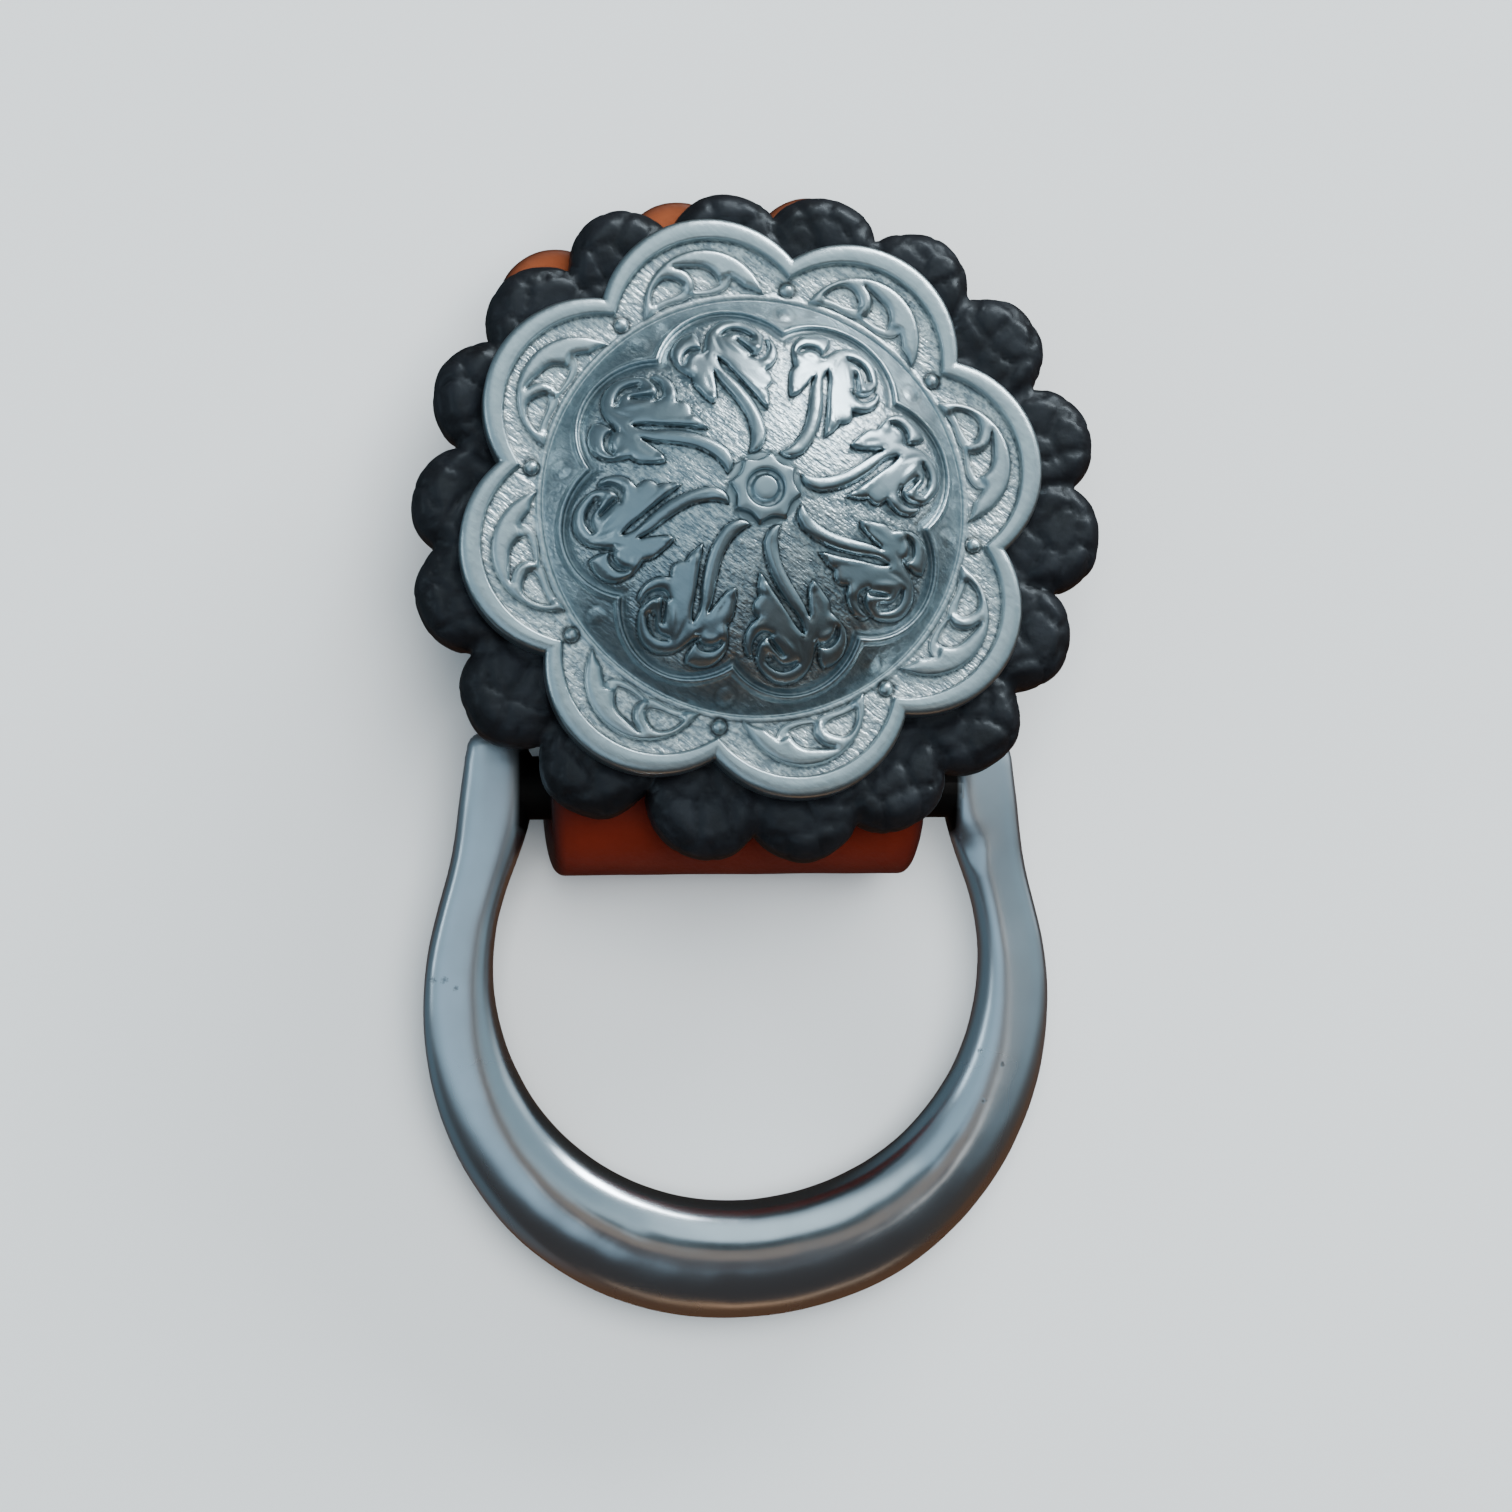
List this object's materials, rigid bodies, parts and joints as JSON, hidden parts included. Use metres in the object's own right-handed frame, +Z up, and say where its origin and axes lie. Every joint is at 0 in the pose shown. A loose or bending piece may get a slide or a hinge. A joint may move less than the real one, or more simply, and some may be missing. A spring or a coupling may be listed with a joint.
{
  "type": "concho with leather rosettes and ring",
  "caption": "Scalloped cast concho on black and tan leather rosettes, screwed to a folded leather strap that holds a cast ring.",
  "frame": {"origin": "centre of the object's footprint, on the surface that it lies on", "axes": "+Z up out of the concho's face, +Y from the ring towards the concho, +X along the ring's bar"},
  "size_m": [0.045, 0.0748, 0.0209],
  "materials": {
    "cast_metal": "bright nickel-plated casting with a satin field",
    "black_leather": "large-pebbled black leather with a soft sheen",
    "tan_leather": "smooth tan leather",
    "strap_leather": "smooth tan harness leather with burnished dark edges",
    "ring_metal": "polished nickel-plated casting",
    "screw_metal": "plain plated steel"
  },
  "bodies": {
    "concho_and_strap": {"concho": "cast_metal", "black_rosette": "black_leather", "tan_rosette": "tan_leather", "strap_loop": "strap_leather", "back_screw": "screw_metal"},
    "ring": {"ring": "ring_metal"}
  },
  "joints": [
    {"name": "ring_swing", "type": "hinge", "parent": "concho_and_strap", "child": "ring", "pos_m": [-0.00095, -0.00151, 0.0052], "axis": [1, 0, 0], "range_deg": [-85, 150]}
  ]
}
